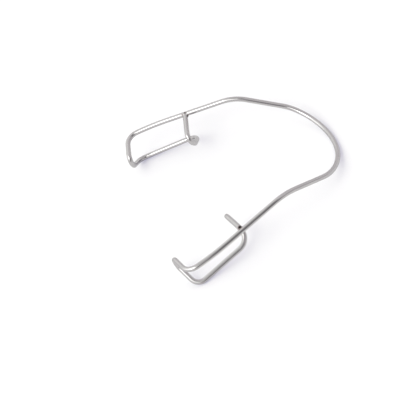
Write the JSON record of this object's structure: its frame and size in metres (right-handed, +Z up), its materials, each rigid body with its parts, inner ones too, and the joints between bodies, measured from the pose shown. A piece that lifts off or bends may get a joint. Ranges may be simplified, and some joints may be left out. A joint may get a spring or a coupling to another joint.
{
  "type": "wire eye speculum",
  "caption": "Wire eye speculum: a sprung U of round steel wire whose ends bend into open channels that hold the eyelids apart.",
  "frame": {"origin": "centre of the part's bounding box, at table height", "axes": "+X from the bow towards the open end of the blades, +Y across the opening to the left arm, +Z up from the table"},
  "size_m": [0.0218, 0.0226, 0.0049],
  "materials": {
    "spring_steel": "satin drawn stainless spring wire, bright on the upper side, with small dark heat marks at the welds"
  },
  "bodies": {
    "root": {"speculum_wire": "spring_steel"}
  },
  "joints": []
}
